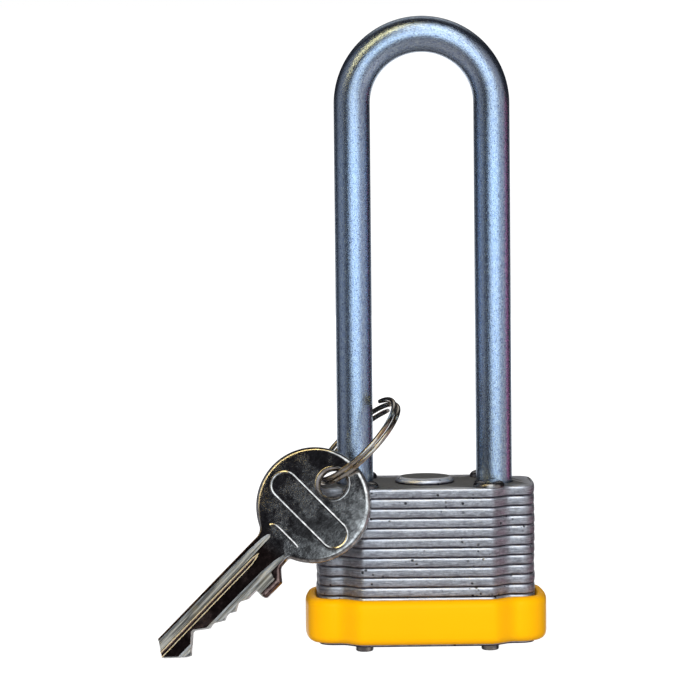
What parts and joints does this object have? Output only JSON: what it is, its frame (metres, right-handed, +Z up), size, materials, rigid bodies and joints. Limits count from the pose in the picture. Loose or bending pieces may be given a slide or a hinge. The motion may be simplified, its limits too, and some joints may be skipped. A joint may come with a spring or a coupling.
{
  "type": "safety padlock",
  "caption": "Laminated-steel keyed safety padlock with a long round shackle, a coloured vinyl bumper, and its key hanging from a split ring on the shackle.",
  "frame": {"origin": "middle of the cylinder plug's face, level with the underside of the laminated body", "axes": "+Z up along the shackle, +X across the legs towards the heel leg, -Y out of the front of the body"},
  "size_m": [0.069, 0.0285, 0.1121],
  "materials": {
    "plate_steel": "satin rolled steel with bright worn edges and dark seams between plates",
    "rivet_steel": "dull peened steel",
    "yellow_vinyl": "slightly glossy moulded yellow vinyl",
    "plated_steel": "zinc-plated bar with fine lengthwise draw marks",
    "spring_steel": "drawn spring wire",
    "brass": "machined brass",
    "hard_steel": "ground hardened steel",
    "ring_nickel": "bright nickel-plated flat wire",
    "key_nickel": "nickel-plated brass, tumbled, with dark hollows"
  },
  "bodies": {
    "body": {"plate_01": "plate_steel", "plate_02": "plate_steel", "plate_03": "plate_steel", "plate_04": "plate_steel", "plate_05": "plate_steel", "plate_06": "plate_steel", "plate_07": "plate_steel", "plate_08": "plate_steel", "plate_09": "plate_steel", "plate_10": "plate_steel", "plate_11": "plate_steel", "plate_12": "plate_steel", "plate_13": "plate_steel", "plate_14": "plate_steel", "plate_15": "plate_steel", "plate_16": "plate_steel", "bumper": "yellow_vinyl", "rivet_front_left": "rivet_steel", "rivet_front_right": "rivet_steel", "rivet_back_left": "rivet_steel", "rivet_back_right": "rivet_steel", "top_button": "rivet_steel", "cylinder_housing": "brass", "pin_cap": "brass", "driver_pin_1": "hard_steel", "driver_pin_2": "hard_steel", "driver_pin_3": "hard_steel", "driver_pin_4": "hard_steel", "pin_spring_1": "spring_steel", "pin_spring_2": "spring_steel", "pin_spring_3": "spring_steel", "pin_spring_4": "spring_steel", "shackle_spring": "spring_steel"},
    "shackle": {"shackle": "plated_steel"},
    "plug": {"plug": "brass", "plug_clip": "spring_steel", "lock_cam": "hard_steel", "key_pin_1": "brass", "key_pin_2": "brass", "key_pin_3": "brass", "key_pin_4": "brass"},
    "ball_left": {"lock_ball_left": "hard_steel"},
    "ball_right": {"lock_ball_right": "hard_steel"},
    "ring": {"split_ring": "ring_nickel"},
    "key": {"key": "key_nickel"}
  },
  "joints": [
    {"name": "shackle_lift", "type": "slide", "parent": "body", "child": "shackle", "axis": [0, 0, 1], "range_m": [0, 0.012], "deforming": ["shackle_spring"]},
    {"name": "plug_turn", "type": "hinge", "parent": "body", "child": "plug", "pos_m": [0, 0, 0], "axis": [0, 0, 1], "range_deg": [-90, 0]},
    {"name": "ball_left_slide", "type": "slide", "parent": "body", "child": "ball_left", "axis": [-1, 0, 0], "range_m": [0, 0.00146]},
    {"name": "ball_right_slide", "type": "slide", "parent": "body", "child": "ball_right", "axis": [1, 0, 0], "range_m": [0, 0.00146]},
    {"name": "ring_swing", "type": "hinge", "parent": "shackle", "child": "ring", "pos_m": [-0.01235, 0, 0.0355], "axis": [0, 0, 1], "range_deg": [-105, 0]},
    {"name": "key_swing", "type": "hinge", "parent": "ring", "child": "key", "pos_m": [-0.01629, -0.01108, 0.02899], "axis": [-0.2049, -0.9475, 0.2455], "range_deg": [-90, 90]}
  ],
  "couplings": [
    {"joint": "ball_left_slide", "follows": "plug_turn", "m_per_rad": -0.0009231},
    {"joint": "ball_right_slide", "follows": "plug_turn", "m_per_rad": -0.0009231}
  ]
}
